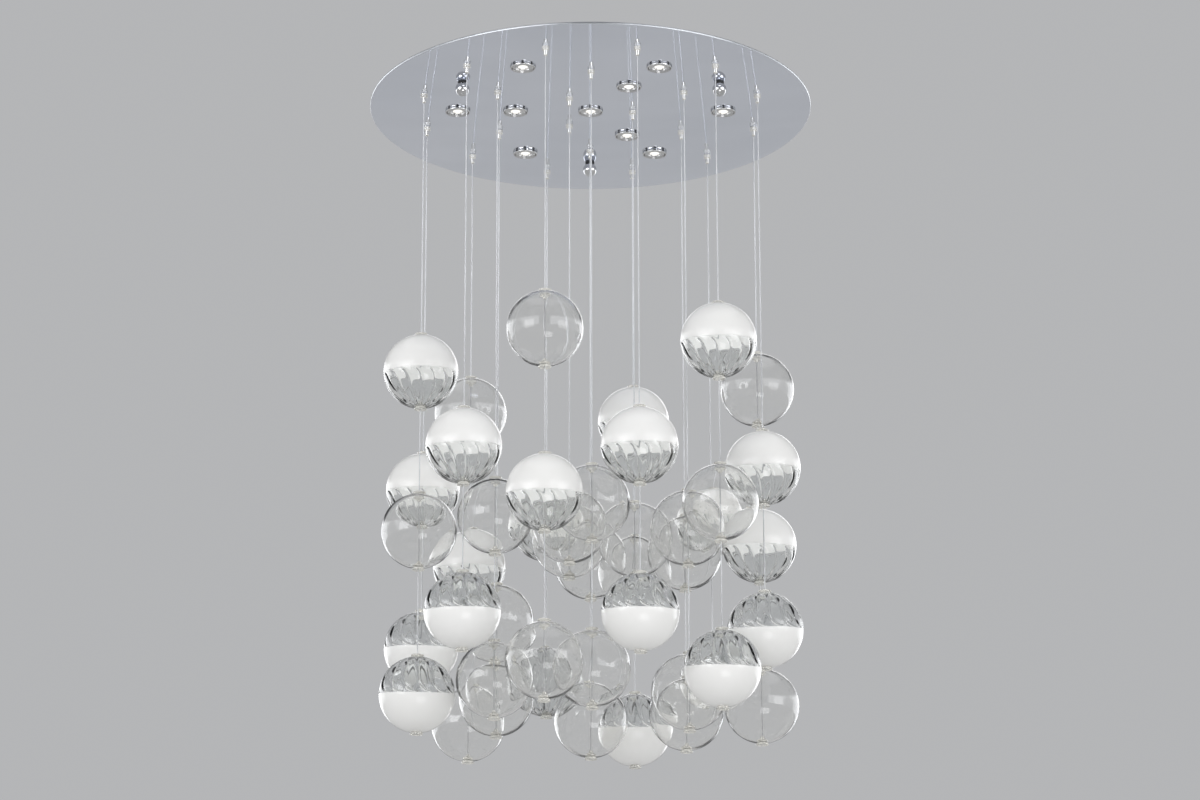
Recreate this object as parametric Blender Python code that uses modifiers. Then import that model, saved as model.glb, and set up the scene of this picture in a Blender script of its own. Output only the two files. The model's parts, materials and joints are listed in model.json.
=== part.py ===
"""Bubble chandelier: glass globes threaded on steel cables under a round mirror canopy.

Twenty-one cables hang from the canopy in three rings. Each globe rests on a bushing that is fixed to its
cable, with a second bushing on top of it. The solid of a globe carries its two bushings and the length of
cable above it, and its hollow is open through the seam round the top bushing. Metres, +Z up. The origin is
on the ceiling, at the centre of the ceiling bracket's top face. Bearings are in degrees from -Y toward +X.
"""

import math

import bmesh
import bpy
from mathutils import Vector

OBJECT_NAME = "bubble_chandelier"

# Globes
GLOBE_DIAMETER = 0.140
GLASS_WALL = 0.003
POLE_HOLE_DIAMETER = 0.015
RIB_COUNT = 16
RIB_DEPTH = 0.003

# Gaps between neighbouring globes of one height, which set the three rings of cables
INNER_NEST_GAP = 0.0010
MID_NEST_GAP = 0.0008
OUTER_NEST_GAP = 0.0018

# Heights, measured down from the canopy plate's underside to the globes' centres
FIRST_LEVEL = 0.548
LEVEL_PITCH = 0.310
STAGGER = 0.200

# Cables and bushings
CABLE_DIAMETER = 0.0022
CABLE_SIDES = 5
FLANGE_DIAMETER = 0.024
FLANGE_HEIGHT = 0.0047
FLANGE_EDGE_HEIGHT = 0.0012
FLANGE_ROOT_DIAMETER = 0.018
PLUG_DIAMETER = 0.0112
PLUG_LENGTH = 0.007

# Cable grips
BARREL_DIAMETER = 0.014
BARREL_HEIGHT = 0.008
TIP_DIAMETER = 0.0076
TIP_HEIGHT = 0.011
GRIP_STUD_DIAMETER = 0.008
GRIP_STUD_RISE = 0.005
GRIP_SIDES = 6
PIVOT_GAP = 0.0006

# Canopy plate
PLATE_THICKNESS = 0.004
PLATE_MARGIN = 0.0952
PLATE_SIDES = 48
CEILING_DROP = 0.055

# Spotlights
BEZEL_DIAMETER = 0.0475
BEZEL_FACE_DIAMETER = 0.043
BEZEL_LIP_DIAMETER = 0.034
BEZEL_DROP = 0.0045
LENS_DIAMETER = 0.030
LENS_RECESS = 0.0025
HOUSING_DIAMETER = 0.039
HOUSING_RISE = 0.022
SPOT_SIDES = 8
INNER_SPOT_SHARE = 0.706
OUTER_SPOT_SHARE = 0.778

# Ceiling bracket, with its studs, their spacers and the ball nuts screwed on them
BRACKET_THICKNESS = 0.003
HUB_DIAMETER = 0.160
HUB_SIDES = 24
ARM_WIDTH = 0.030
ARM_OVERHANG = 0.015
STUD_SHARE = 0.854
STUD_DIAMETER = 0.006
SPACER_DIAMETER = 0.012
NUT_BALL_DIAMETER = 0.027
NUT_WAIST_DIAMETER = 0.018
NUT_WAIST_HEIGHT = 0.003
NUT_ARC_STEPS = 4
NUT_SIDES = 9

# Electrical parts under the bracket
DRIVER_LENGTH = 0.120
DRIVER_WIDTH = 0.040
DRIVER_HEIGHT = 0.020
TERMINAL_LENGTH = 0.032
TERMINAL_WIDTH = 0.016
TERMINAL_HEIGHT = 0.014
ELECTRICS_SPACING = 0.008
GLAND_DIAMETER = 0.014
GLAND_FLANGE_DIAMETER = 0.022
GLAND_BORE_DIAMETER = 0.009
GLAND_DROP = 0.006
GLAND_SIDES = 8

# Clearances
SEAT_GAP = 0.0003
BORE_CLEARANCE = 0.0006
CUT_OVERRUN = 0.002
MERGE_DISTANCE = 0.00001

# Rows of a globe's shell from top to bottom: latitude in degrees, vertices, whether it is ribbed, and how far
# round its first vertex is set as a share of the row's step
SHELL_ROWS = {
    "clear": ((55, 5, False, 0.5), (20, 10, False, 0.5), (-20, 10, False, 0.0), (-55, 5, False, 0.0)),
    "white_top": ((55, 5, False, 0.5), (25, 10, False, 0.5), (-5, 10, False, 0.0), (-42, 10, True, 0.0)),
    "ribbed_top": ((42, 10, True, 0.0), (5, 10, False, 0.0), (-25, 10, False, 0.5), (-55, 5, False, 0.5)),
    "ribbed": ((42, 10, True, 0.0), (0, 10, False, 0.0), (-42, 10, True, 0.0)),
}

# Strings: ring, number in the ring, bearing, globes from the top down, and how far the whole string hangs
# below its level as a share of the globe's radius
STRINGS = (
    ("outer", 1, 15, ("white_top", "ribbed_top"), 0.40),
    ("outer", 2, 45, ("white_top", "clear", "ribbed_top"), 0.0),
    ("outer", 3, 75, ("white_top", "ribbed_top"), 0.01),
    ("outer", 4, 105, ("clear", "white_top", "clear"), -0.11),
    ("outer", 5, 135, ("white_top", "ribbed_top"), 0.11),
    ("outer", 6, 165, ("white_top", "clear", "ribbed_top"), -0.24),
    ("outer", 7, 195, ("white_top", "ribbed"), -0.07),
    ("outer", 8, 225, ("clear", "white_top", "clear"), -0.10),
    ("outer", 9, 255, ("white_top", "ribbed_top"), -0.11),
    ("outer", 10, 285, ("white_top", "clear", "ribbed_top"), 0.17),
    ("outer", 11, 315, ("white_top", "ribbed_top"), 0.04),
    ("outer", 12, 345, ("clear", "white_top", "clear"), 0.09),
    ("mid", 1, 0, ("clear", "clear"), -0.10),
    ("mid", 2, 60, ("clear", "clear"), 0.16),
    ("mid", 3, 120, ("clear", "clear"), 0.03),
    ("mid", 4, 180, ("clear", "clear"), -0.11),
    ("mid", 5, 240, ("clear", "clear"), -0.36),
    ("mid", 6, 300, ("clear", "clear"), -0.17),
    ("inner", 1, 90, ("clear",), 0.06),
    ("inner", 2, 210, ("clear",), -0.19),
    ("inner", 3, 330, ("clear",), -0.04),
)
STACKED_STRING = ("mid", 5)
INNER_SPOT_BEARINGS = (30, 150, 270)
OUTER_SPOT_BEARINGS = (30, 90, 150, 210, 270, 330)
STUD_BEARINGS = (60, 180, 300)

GLOBE_RADIUS = GLOBE_DIAMETER / 2
CABLE_RADIUS = CABLE_DIAMETER / 2
PLATE_UNDERSIDE = -CEILING_DROP
PLATE_TOP = PLATE_UNDERSIDE + PLATE_THICKNESS
PLATE_MIDDLE = PLATE_UNDERSIDE + PLATE_THICKNESS / 2
BRACKET_UNDERSIDE = -BRACKET_THICKNESS
BRACKET_MIDDLE = -BRACKET_THICKNESS / 2
PIVOT_DEPTH = BARREL_HEIGHT + TIP_HEIGHT
RIM_HEIGHT = math.sqrt(GLOBE_RADIUS ** 2 - (POLE_HOLE_DIAMETER / 2) ** 2)
ROOT_HEIGHT = math.sqrt(GLOBE_RADIUS ** 2 - (FLANGE_ROOT_DIAMETER / 2) ** 2)
FLANGE_SEAT = RIM_HEIGHT + SEAT_GAP
BUSHING_END = FLANGE_SEAT + FLANGE_HEIGHT


def nested_radius(inside_radius, turn, reach):
    """Ring radius at which a globe lies one reach from its neighbour on the ring inside it."""
    angle = math.radians(turn)
    return inside_radius * math.cos(angle) + math.sqrt(reach ** 2 - (inside_radius * math.sin(angle)) ** 2)


INNER_RADIUS = (GLOBE_DIAMETER + INNER_NEST_GAP) / math.sqrt(3)
MID_RADIUS = nested_radius(INNER_RADIUS, 30, GLOBE_DIAMETER + MID_NEST_GAP)
OUTER_RADIUS = nested_radius(MID_RADIUS, 15, GLOBE_DIAMETER + OUTER_NEST_GAP)
RING_RADII = {"outer": OUTER_RADIUS, "mid": MID_RADIUS, "inner": INNER_RADIUS}
PLATE_RADIUS = OUTER_RADIUS + PLATE_MARGIN
STUD_RADIUS = OUTER_RADIUS * STUD_SHARE


def plan(radius, bearing, height=0.0):
    """Point at a radius, bearing and height."""
    turn = math.radians(bearing)
    return Vector((radius * math.sin(turn), -radius * math.cos(turn), height))


def globe_depths(ring, number, globes, trim_share):
    """Depths of a string's globe centres under the canopy plate, from the top down."""
    trim = trim_share * GLOBE_RADIUS
    if (ring, number) == STACKED_STRING:
        lowest = FIRST_LEVEL + 2 * LEVEL_PITCH + trim
        return [lowest - 2 * BUSHING_END - SEAT_GAP, lowest]
    if ring != "outer":
        start = FIRST_LEVEL + LEVEL_PITCH
    elif len(globes) == 2:
        start = FIRST_LEVEL + STAGGER
    else:
        start = FIRST_LEVEL
    return [start + step * LEVEL_PITCH + trim for step in range(len(globes))]


def spot_places():
    """Plan places of the ten spotlights."""
    places = [plan(0.0, 0)]
    places += [plan(MID_RADIUS * INNER_SPOT_SHARE, bearing) for bearing in INNER_SPOT_BEARINGS]
    places += [plan(OUTER_RADIUS * OUTER_SPOT_SHARE, bearing) for bearing in OUTER_SPOT_BEARINGS]
    return places


def clear_scene():
    """Remove the objects that a new Blender file holds."""
    for thing in list(bpy.data.objects):
        bpy.data.objects.remove(thing, do_unlink=True)


def new_collection(name):
    """Collection under the scene's own."""
    collection = bpy.data.collections.new(name)
    bpy.context.scene.collection.children.link(collection)
    return collection


def new_material(name, color, roughness, metallic, transmission=0.0):
    """Principled material with one even finish."""
    material = bpy.data.materials.new(name)
    material.use_nodes = True
    shader = material.node_tree.nodes["Principled BSDF"]
    shader.inputs["Base Color"].default_value = (*color, 1.0)
    shader.inputs["Roughness"].default_value = roughness
    shader.inputs["Metallic"].default_value = metallic
    shader.inputs["Transmission Weight"].default_value = transmission
    return material


def new_object(name, mesh, collection, material=None, origin=(0.0, 0.0, 0.0)):
    """Object with its origin at a place, linked to a collection."""
    thing = bpy.data.objects.new(name, mesh)
    thing.location = origin
    collection.objects.link(thing)
    if material:
        mesh.materials.clear()
        mesh.materials.append(material)
    return thing


def turned_object(name, profile, sides, collection, material=None, origin=(0.0, 0.0, 0.0)):
    """Object turned about its own Z by a Screw modifier.

    The profile is a list of (radius, height) points whose outer side runs from top to bottom. One that
    starts and ends off the axis is closed into a ring.
    """
    points = [(radius, 0.0, height) for radius, height in profile]
    edges = [(i, i + 1) for i in range(len(profile) - 1)]
    if profile[0][0] > 0.0:
        edges.append((len(profile) - 1, 0))
    mesh = bpy.data.meshes.new(name)
    mesh.from_pydata(points, edges, [])
    thing = new_object(name, mesh, collection, material, origin)
    screw = thing.modifiers.new("Turned", "SCREW")
    screw.steps = sides
    screw.render_steps = sides
    screw.use_merge_vertices = True
    screw.merge_threshold = MERGE_DISTANCE
    return thing


def turned_copies(name, profile, sides, places, collection):
    """One object of separate turned solids, for use in a Boolean."""
    source = turned_object(name, profile, sides, collection)
    bpy.context.view_layer.update()
    turned = bpy.data.meshes.new_from_object(source.evaluated_get(bpy.context.evaluated_depsgraph_get()))
    bpy.data.objects.remove(source, do_unlink=True)
    bm = bmesh.new()
    for place in places:
        before = len(bm.verts)
        bm.from_mesh(turned)
        bm.verts.ensure_lookup_table()
        bmesh.ops.translate(bm, vec=place, verts=bm.verts[before:])
    mesh = bpy.data.meshes.new(name)
    bm.to_mesh(mesh)
    bm.free()
    return new_object(name, mesh, collection)


def box_mesh(name, length, width, height):
    """Box with its centre at the origin."""
    bm = bmesh.new()
    bmesh.ops.create_cube(bm, size=1.0)
    bmesh.ops.scale(bm, vec=Vector((length, width, height)), verts=bm.verts)
    mesh = bpy.data.meshes.new(name)
    bm.to_mesh(mesh)
    bm.free()
    return mesh


def combine(thing, other, operation):
    """Boolean with a hidden guide object."""
    other.hide_render = True
    other.display_type = "WIRE"
    step = thing.modifiers.new(other.name, "BOOLEAN")
    step.operation = operation
    step.solver = "EXACT"
    step.object = other


def ring_row(bm, radius, height, count=CABLE_SIDES):
    """Level ring of vertices about Z."""
    turns = [2 * math.pi * i / count for i in range(count)]
    return [bm.verts.new((radius * math.cos(turn), radius * math.sin(turn), height)) for turn in turns]


def sphere_row(bm, radius, latitude, count, phase_share, rib_depth=0.0):
    """Ring of vertices on a sphere, every other one sunk by the ribs' depth."""
    angle = math.radians(latitude)
    row = []
    for i in range(count):
        reach = radius - rib_depth * (i % 2)
        turn = 2 * math.pi * (i + phase_share) / count
        across = reach * math.cos(angle)
        spot = (across * math.cos(turn), across * math.sin(turn), reach * math.sin(angle))
        row.append(bm.verts.new(spot))
    return row


def bridge_rows(bm, upper, lower):
    """Triangles between two rings of unlike counts, each closed by the shorter of its two diagonals."""
    i = 0
    j = 0
    while i < len(upper) or j < len(lower):
        corner = upper[i % len(upper)]
        below = lower[j % len(lower)]
        next_corner = upper[(i + 1) % len(upper)]
        next_below = lower[(j + 1) % len(lower)]
        upper_is_nearer = (next_corner.co - below.co).length <= (next_below.co - corner.co).length
        if j == len(lower) or (i < len(upper) and upper_is_nearer):
            i += 1
            bm.faces.new((corner, below, next_corner))
        else:
            j += 1
            bm.faces.new((corner, below, next_below))


def outer_shell_rows(bm, kind):
    """Outside of a globe from its top rim to its bottom bushing, with the ribs at their real relief."""
    rows = [ring_row(bm, POLE_HOLE_DIAMETER / 2, RIM_HEIGHT)]
    for latitude, count, ribbed, phase_share in SHELL_ROWS[kind]:
        if ribbed:
            rows.append(sphere_row(bm, GLOBE_RADIUS, latitude, 2 * RIB_COUNT, phase_share, RIB_DEPTH))
        else:
            rows.append(sphere_row(bm, GLOBE_RADIUS, latitude, count, phase_share))
    rows.append(ring_row(bm, FLANGE_ROOT_DIAMETER / 2, -ROOT_HEIGHT))
    return rows


def inner_shell_rows(bm, kind):
    """Inside of a globe from its bottom bushing to its top rim."""
    rows = [ring_row(bm, POLE_HOLE_DIAMETER / 2, GLASS_WALL - RIM_HEIGHT)]
    for latitude, count, ribbed, phase_share in reversed(SHELL_ROWS[kind]):
        depth = GLASS_WALL + (RIB_DEPTH if ribbed else 0.0)
        rows.append(sphere_row(bm, GLOBE_RADIUS - depth, latitude, count, phase_share))
    rows.append(ring_row(bm, POLE_HOLE_DIAMETER / 2, RIM_HEIGHT - GLASS_WALL))
    return rows


def globe_mesh(name, kind, cable_length, drop):
    """A globe with its bushings and the cable above it, as one loft of rings of unlike counts.

    The rings run down the cable and the top bushing, through the hollow, up the inside of the glass, over
    the top rim, and down the outside to the bottom bushing. The drop is the globe's depth under its origin.
    """
    bm = bmesh.new()
    rows = []
    if cable_length > SEAT_GAP:
        rows.append(ring_row(bm, CABLE_RADIUS, BUSHING_END + cable_length))
    rows.append(ring_row(bm, CABLE_RADIUS, BUSHING_END))
    rows.append(ring_row(bm, FLANGE_DIAMETER / 2, FLANGE_SEAT + FLANGE_EDGE_HEIGHT))
    rows.append(ring_row(bm, PLUG_DIAMETER / 2, FLANGE_SEAT))
    rows.append(ring_row(bm, CABLE_RADIUS, FLANGE_SEAT - PLUG_LENGTH))
    rows.append(ring_row(bm, CABLE_RADIUS, PLUG_LENGTH - FLANGE_SEAT))
    rows += inner_shell_rows(bm, kind)
    rows += outer_shell_rows(bm, kind)
    rows.append(ring_row(bm, FLANGE_DIAMETER / 2, -FLANGE_SEAT - FLANGE_EDGE_HEIGHT))
    rows.append(ring_row(bm, CABLE_RADIUS, -BUSHING_END))
    bm.faces.new(rows[0])
    for upper, lower in zip(rows, rows[1:]):
        bridge_rows(bm, upper, lower)
    bm.faces.new(reversed(rows[-1]))
    bmesh.ops.translate(bm, vec=Vector((0.0, 0.0, -drop)), verts=bm.verts)
    mesh = bpy.data.meshes.new(name)
    bm.to_mesh(mesh)
    bm.free()
    mesh.shade_smooth()
    mesh.set_sharp_from_angle(angle=math.radians(45))
    return mesh


def add_string(ring, number, bearing, globes, trim_share, materials, collection):
    """Hanging string of globes, each with its origin where the string's cable leaves the grip."""
    pivot = plan(RING_RADII[ring], bearing, PLATE_UNDERSIDE - PIVOT_DEPTH)
    cable_top = PIVOT_GAP
    for place, depth in enumerate(globe_depths(ring, number, globes, trim_share)):
        kind = globes[place]
        drop = depth - PIVOT_DEPTH
        name = f"{ring}_{number:02d}_{kind}_globe_{place + 1}"
        mesh = globe_mesh(name, kind, drop - BUSHING_END - cable_top, drop)
        new_object(name, mesh, collection, materials[kind], pivot)
        cable_top = drop + BUSHING_END + SEAT_GAP


def add_plate(materials, collection, cutters):
    """Canopy plate with the cable grips on it, bored for the spotlights and the bracket's studs."""
    profile = [(0.0, PLATE_TOP), (PLATE_RADIUS, PLATE_TOP), (PLATE_RADIUS, PLATE_UNDERSIDE),
               (0.0, PLATE_UNDERSIDE)]
    plate = turned_object("canopy_plate", profile, PLATE_SIDES, collection, materials["mirror_steel"])
    stud = GRIP_STUD_DIAMETER / 2
    barrel = BARREL_DIAMETER / 2
    tip = TIP_DIAMETER / 2
    stud_top = PLATE_TOP + GRIP_STUD_RISE
    barrel_foot = PLATE_UNDERSIDE - BARREL_HEIGHT
    tip_foot = barrel_foot - TIP_HEIGHT
    grip = [(0.0, stud_top), (stud, stud_top), (stud, PLATE_MIDDLE), (barrel, PLATE_MIDDLE),
            (barrel, barrel_foot), (tip, barrel_foot), (tip, tip_foot), (0.0, tip_foot)]
    places = [plan(RING_RADII[ring], bearing) for ring, _, bearing, _, _ in STRINGS]
    combine(plate, turned_copies("grips", grip, GRIP_SIDES, places, cutters), "UNION")
    top = PLATE_TOP + CUT_OVERRUN
    bottom = PLATE_UNDERSIDE - CUT_OVERRUN
    reach = (HOUSING_DIAMETER + BORE_CLEARANCE) / 2
    bore = [(0.0, top), (reach, top), (reach, bottom), (0.0, bottom)]
    combine(plate, turned_copies("spot_bores", bore, SPOT_SIDES, spot_places(), cutters), "DIFFERENCE")
    reach = (STUD_DIAMETER + BORE_CLEARANCE) / 2
    bore = [(0.0, top), (reach, top), (reach, bottom), (0.0, bottom)]
    places = [plan(STUD_RADIUS, bearing) for bearing in STUD_BEARINGS]
    combine(plate, turned_copies("stud_bores", bore, NUT_SIDES, places, cutters), "DIFFERENCE")


def add_spots(materials, collection):
    """Spotlights: a housing through the plate, with a bezel under it round a recessed lens."""
    seat = PLATE_UNDERSIDE - SEAT_GAP
    face = PLATE_UNDERSIDE - BEZEL_DROP
    housing = HOUSING_DIAMETER / 2
    lens = LENS_DIAMETER / 2
    top = PLATE_TOP + HOUSING_RISE
    profile = [(0.0, top), (housing, top), (housing, seat), (BEZEL_DIAMETER / 2, seat),
               (BEZEL_FACE_DIAMETER / 2, face), (BEZEL_LIP_DIAMETER / 2, face), (lens, face + LENS_RECESS),
               (0.0, face + LENS_RECESS)]
    for number, place in enumerate(spot_places(), 1):
        turned_object(f"spotlight_{number:02d}", profile, SPOT_SIDES, collection, materials["chrome"], place)


def post_profile():
    """Stud with its spacer above the plate and its ball nut below."""
    spacer = SPACER_DIAMETER / 2
    stud = STUD_DIAMETER / 2
    waist = NUT_WAIST_DIAMETER / 2
    ball = NUT_BALL_DIAMETER / 2
    rest = PLATE_TOP + SEAT_GAP
    seat = PLATE_UNDERSIDE - SEAT_GAP
    waist_end = seat - NUT_WAIST_HEIGHT
    start = math.asin(waist / ball)
    centre = waist_end - ball * math.cos(start)
    turns = [start + (math.pi - start) * step / NUT_ARC_STEPS for step in range(NUT_ARC_STEPS)]
    profile = [(0.0, BRACKET_MIDDLE), (spacer, BRACKET_MIDDLE), (spacer, rest), (stud, rest), (stud, seat),
               (waist, seat)]
    profile += [(ball * math.sin(turn), centre + ball * math.cos(turn)) for turn in turns]
    profile.append((0.0, centre - ball))
    return profile


def gland_place():
    """Plan place of the mains gland, beside the driver."""
    return plan(DRIVER_WIDTH / 2 + ELECTRICS_SPACING + GLAND_FLANGE_DIAMETER / 2, 180)


def bracket_outline():
    """Corners of the hub with its three arms, once round in plan."""
    hub = HUB_DIAMETER / 2
    arm_end = STUD_RADIUS + ARM_OVERHANG
    half_turn = math.degrees(math.asin(ARM_WIDTH / 2 / hub))
    free_turn = 360 / len(STUD_BEARINGS) - 2 * half_turn
    arc_steps = HUB_SIDES // len(STUD_BEARINGS)
    corners = []
    for bearing in STUD_BEARINGS:
        end = plan(arm_end, bearing)
        side = plan(ARM_WIDTH / 2, bearing + 90)
        corners += [end - side, end + side]
        corners += [plan(hub, bearing + half_turn + free_turn * step / arc_steps) for step in range(arc_steps + 1)]
    return corners


def flat_object(name, corners, thickness, height, collection, material):
    """Mesh of a flat outline, made as a filled 2D curve with its caps welded."""
    curve = bpy.data.curves.new(name, "CURVE")
    curve.dimensions = "2D"
    curve.fill_mode = "BOTH"
    curve.extrude = thickness / 2
    spline = curve.splines.new("POLY")
    spline.points.add(len(corners) - 1)
    for point, corner in zip(spline.points, corners):
        point.co = (corner.x, corner.y, 0.0, 1.0)
    spline.use_cyclic_u = True
    source = new_object(name, curve, collection)
    source.location.z = height
    bpy.context.view_layer.update()
    mesh = bpy.data.meshes.new_from_object(source.evaluated_get(bpy.context.evaluated_depsgraph_get()))
    place = source.matrix_world.copy()
    bpy.data.objects.remove(source, do_unlink=True)
    bm = bmesh.new()
    bm.from_mesh(mesh)
    bmesh.ops.remove_doubles(bm, verts=bm.verts, dist=MERGE_DISTANCE)
    bm.to_mesh(mesh)
    bm.free()
    thing = new_object(name, mesh, collection, material)
    thing.matrix_world = place
    return thing


def add_bracket(materials, collection, cutters):
    """Ceiling bracket: a hub with three arms and their posts, bored for the mains gland."""
    bracket = flat_object("ceiling_bracket", bracket_outline(), BRACKET_THICKNESS, BRACKET_MIDDLE, collection,
                          materials["galvanised"])
    places = [plan(STUD_RADIUS, bearing) for bearing in STUD_BEARINGS]
    combine(bracket, turned_copies("posts", post_profile(), NUT_SIDES, places, cutters), "UNION")
    reach = (GLAND_DIAMETER + BORE_CLEARANCE) / 2
    deep = BRACKET_UNDERSIDE - CUT_OVERRUN
    bore = [(0.0, CUT_OVERRUN), (reach, CUT_OVERRUN), (reach, deep), (0.0, deep)]
    combine(bracket, turned_copies("gland_bore", bore, GLAND_SIDES, [gland_place()], cutters), "DIFFERENCE")


def add_electrics(materials, collection):
    """Driver and terminal block under the hub, and the gland where the mains lead comes in."""
    top = BRACKET_UNDERSIDE - SEAT_GAP
    driver = box_mesh("led_driver", DRIVER_LENGTH, DRIVER_WIDTH, DRIVER_HEIGHT)
    new_object("led_driver", driver, collection, materials["white_plastic"], (0.0, 0.0, top - DRIVER_HEIGHT / 2))
    block = box_mesh("terminal_block", TERMINAL_LENGTH, TERMINAL_WIDTH, TERMINAL_HEIGHT)
    shift = DRIVER_WIDTH / 2 + ELECTRICS_SPACING + TERMINAL_WIDTH / 2
    new_object("terminal_block", block, collection, materials["white_plastic"],
               plan(shift, 0, top - TERMINAL_HEIGHT / 2))
    bore = GLAND_BORE_DIAMETER / 2
    neck = GLAND_DIAMETER / 2
    flange = GLAND_FLANGE_DIAMETER / 2
    mouth = -SEAT_GAP
    foot = top - GLAND_DROP
    profile = [(bore, mouth), (neck, mouth), (neck, top), (flange, top), (flange, foot), (bore, foot)]
    turned_object("mains_gland", profile, GLAND_SIDES, collection, materials["black"], gland_place())


def make_materials():
    """The part's finishes."""
    return {
        "clear": new_material("clear_glass", (0.93, 0.95, 0.95), 0.02, 0.0, 1.0),
        "white_top": new_material("white_over_ribbed_glass", (0.90, 0.90, 0.88), 0.08, 0.0, 0.5),
        "ribbed_top": new_material("ribbed_over_white_glass", (0.90, 0.90, 0.88), 0.08, 0.0, 0.5),
        "ribbed": new_material("ribbed_glass", (0.93, 0.94, 0.93), 0.05, 0.0, 1.0),
        "mirror_steel": new_material("mirror_steel", (0.60, 0.63, 0.68), 0.05, 1.0),
        "chrome": new_material("chrome", (0.80, 0.80, 0.82), 0.06, 1.0),
        "black": new_material("black_plastic", (0.04, 0.04, 0.04), 0.50, 0.0),
        "galvanised": new_material("galvanised_steel", (0.55, 0.56, 0.57), 0.45, 0.9),
        "white_plastic": new_material("white_plastic", (0.85, 0.85, 0.83), 0.45, 0.0),
    }


def main():
    """Build the chandelier."""
    clear_scene()
    collection = new_collection(OBJECT_NAME)
    cutters = new_collection("cutters")
    materials = make_materials()
    add_plate(materials, collection, cutters)
    add_bracket(materials, collection, cutters)
    add_electrics(materials, collection)
    add_spots(materials, collection)
    for string in STRINGS:
        add_string(*string, materials, collection)


main()
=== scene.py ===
"""Bubble chandelier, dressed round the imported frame.

Blown glass globes are strung on steel cables under a mirror canopy with spotlights. Metres, +Z up, the origin
on the ceiling at the centre of the bracket's top face. A turn is an angle about Z from -Y toward +X, so that
turn 0 faces the room's front. A latitude is an angle above a globe's middle.
"""

import json
import math

import bpy
import numpy as np
from mathutils import Matrix, Vector


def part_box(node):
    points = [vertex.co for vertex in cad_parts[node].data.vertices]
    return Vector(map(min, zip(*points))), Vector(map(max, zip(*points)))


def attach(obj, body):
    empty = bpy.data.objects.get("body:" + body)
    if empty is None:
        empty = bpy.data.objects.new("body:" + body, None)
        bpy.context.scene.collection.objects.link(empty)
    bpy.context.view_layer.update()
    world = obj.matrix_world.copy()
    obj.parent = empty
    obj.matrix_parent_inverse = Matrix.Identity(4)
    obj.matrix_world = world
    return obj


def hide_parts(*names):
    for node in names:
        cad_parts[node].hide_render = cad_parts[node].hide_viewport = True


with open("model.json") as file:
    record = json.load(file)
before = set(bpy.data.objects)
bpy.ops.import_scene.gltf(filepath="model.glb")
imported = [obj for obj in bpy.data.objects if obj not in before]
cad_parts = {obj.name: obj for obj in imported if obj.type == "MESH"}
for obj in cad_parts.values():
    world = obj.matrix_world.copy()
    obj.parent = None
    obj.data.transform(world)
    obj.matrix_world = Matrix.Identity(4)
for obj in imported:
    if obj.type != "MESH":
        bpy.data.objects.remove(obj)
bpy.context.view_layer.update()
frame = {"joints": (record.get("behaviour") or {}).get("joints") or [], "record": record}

FULL_TURN = 2.0 * math.pi

# Camera
CAMERA_PLACE = Vector((-0.0411, -7.2410, -2.9795))
CAMERA_YAW = math.radians(-0.46)
CAMERA_PITCH = math.radians(17.884)
CAMERA_ROLL = math.radians(-0.128)
CAMERA_LENS = 120.88
CAMERA_REACH = 400.0
SENSOR_WIDTH = 36.0

# Floor
FLOOR_LEVEL = -10.5
FLOOR_HALF = 150.0

# Colours of the surround: what the camera and glass see, what lights matt things, and what polished things
# mirror beside and inside the lit panels
BACKDROP = (0.46, 0.465, 0.475, 1.0)
AMBIENT = (0.73, 0.73, 0.73, 1.0)
DARK_ROOM = (0.13, 0.133, 0.14, 1.0)
LIT_PANEL = (3.0, 3.04, 3.1, 1.0)

# Extent of the lit panels, by the size of a direction's part: where a change starts and ends, and the light
# before and after it. The panels stand at the sides, at the height of the eye, and one dim panel lies above
PANEL_HEIGHT = (0.30, 0.42, 1.0, 0.0)
PANEL_START = (0.22, 0.32, 0.0, 1.0)
PANEL_END = (0.90, 0.96, 1.0, 0.3)
UPPER_PANEL = (0.80, 0.88, 0.0, 0.3)

# Lamps: name, place, point they are aimed at, width and height, and power
LAMPS = (
    ("key_lamp", (-3.6, -3.6, -0.5), (0.0, 0.0, -0.8), (2.6, 1.8), 50.0),
    ("fill_lamp", (3.8, -3.0, -0.6), (0.0, 0.0, -0.8), (2.6, 1.8), 35.0),
    ("low_lamp", (0.8, -4.2, -3.4), (0.0, 0.0, -1.0), (2.2, 1.4), 37.0),
    ("back_lamp", (0.6, 4.4, 1.3), (0.0, 0.0, -0.8), (3.0, 1.6), 26.0),
)

# Metals by short name: the finish's name, its dark and light shades, its least and greatest roughness, the
# scale of its clouds, the tint where the surface turns away, and how far it is a metal
METALS = {
    "rim": ("chrome_trim", (0.88, 0.885, 0.89), (0.95, 0.95, 0.955), 0.05, 0.09, 25.0, 0.25),
    "ball": ("ball_nut_chrome", (0.58, 0.585, 0.60), (0.66, 0.665, 0.68), 0.03, 0.06, 30.0),
    "edge": ("canopy_edge_steel", (0.50, 0.52, 0.55), (0.58, 0.60, 0.63), 0.28, 0.36, 40.0),
    "back": ("canopy_back_steel", (0.50, 0.51, 0.53), (0.57, 0.58, 0.60), 0.34, 0.44, 30.0, 0.3),
    "silver": ("lamp_dish_silver", (0.60, 0.60, 0.61), (0.72, 0.72, 0.72), 0.25, 0.35, 60.0),
    "nickel": ("grip_nickel", (0.82, 0.81, 0.78), (0.90, 0.89, 0.86), 0.13, 0.20, 90.0, 1.0, 0.85),
    "zinc": ("zinc_plated_studs", (0.50, 0.51, 0.52), (0.62, 0.62, 0.61), 0.25, 0.38, 120.0),
    "heat_sink": ("housing_black_aluminium", (0.025, 0.025, 0.027), (0.05, 0.05, 0.052), 0.35, 0.5, 80.0),
}

# Globes, as in the part's source
GLOBE_RADIUS = 0.070
GLASS_WALL = 0.003
POLE_HOLE = 0.0075
RIB_COUNT = 16
RIB_DEPTH = 0.003

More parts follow.
